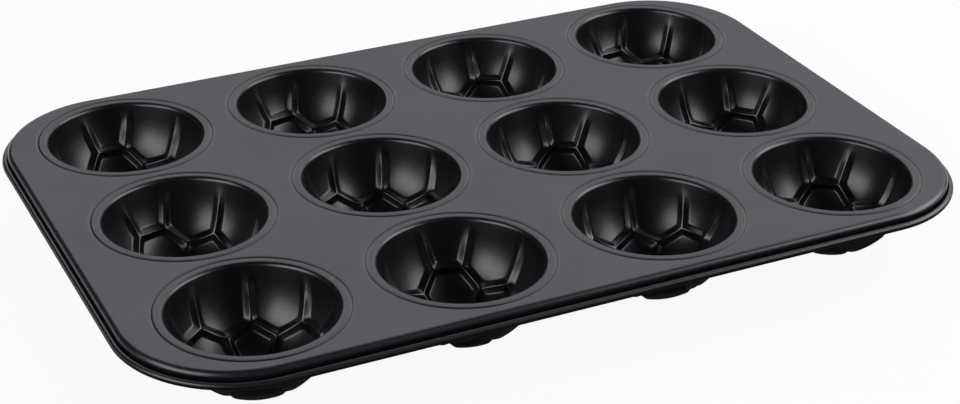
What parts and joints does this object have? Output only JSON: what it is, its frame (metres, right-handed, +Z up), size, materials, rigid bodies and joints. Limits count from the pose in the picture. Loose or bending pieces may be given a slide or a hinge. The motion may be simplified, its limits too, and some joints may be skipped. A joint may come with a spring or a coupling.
{
  "type": "muffin pan",
  "caption": "Dark non-stick sheet-steel muffin pan with rows of half-ball cups, ribbed inside like a football, set in a round-cornered plate with a rolled wired rim",
  "frame": {"origin": "centre of the bounding box's bottom, on the surface that the cups stand on", "axes": "+X along the long side, +Y across to the back row, +Z up out of the cups"},
  "size_m": [0.3848, 0.2622, 0.0353],
  "materials": {
    "plate_coating": "satin dark grey non-stick coating",
    "cup_coating": "smooth dark grey non-stick coating, a little glossier than the plate",
    "wire_steel": "drawn wire"
  },
  "bodies": {
    "root": {"top_plate": "plate_coating", "rim_wire": "wire_steel", "cup_back_1": "cup_coating", "cup_back_2": "cup_coating", "cup_back_3": "cup_coating", "cup_back_4": "cup_coating", "cup_middle_1": "cup_coating", "cup_middle_2": "cup_coating", "cup_middle_3": "cup_coating", "cup_middle_4": "cup_coating", "cup_front_1": "cup_coating", "cup_front_2": "cup_coating", "cup_front_3": "cup_coating", "cup_front_4": "cup_coating"}
  },
  "joints": []
}
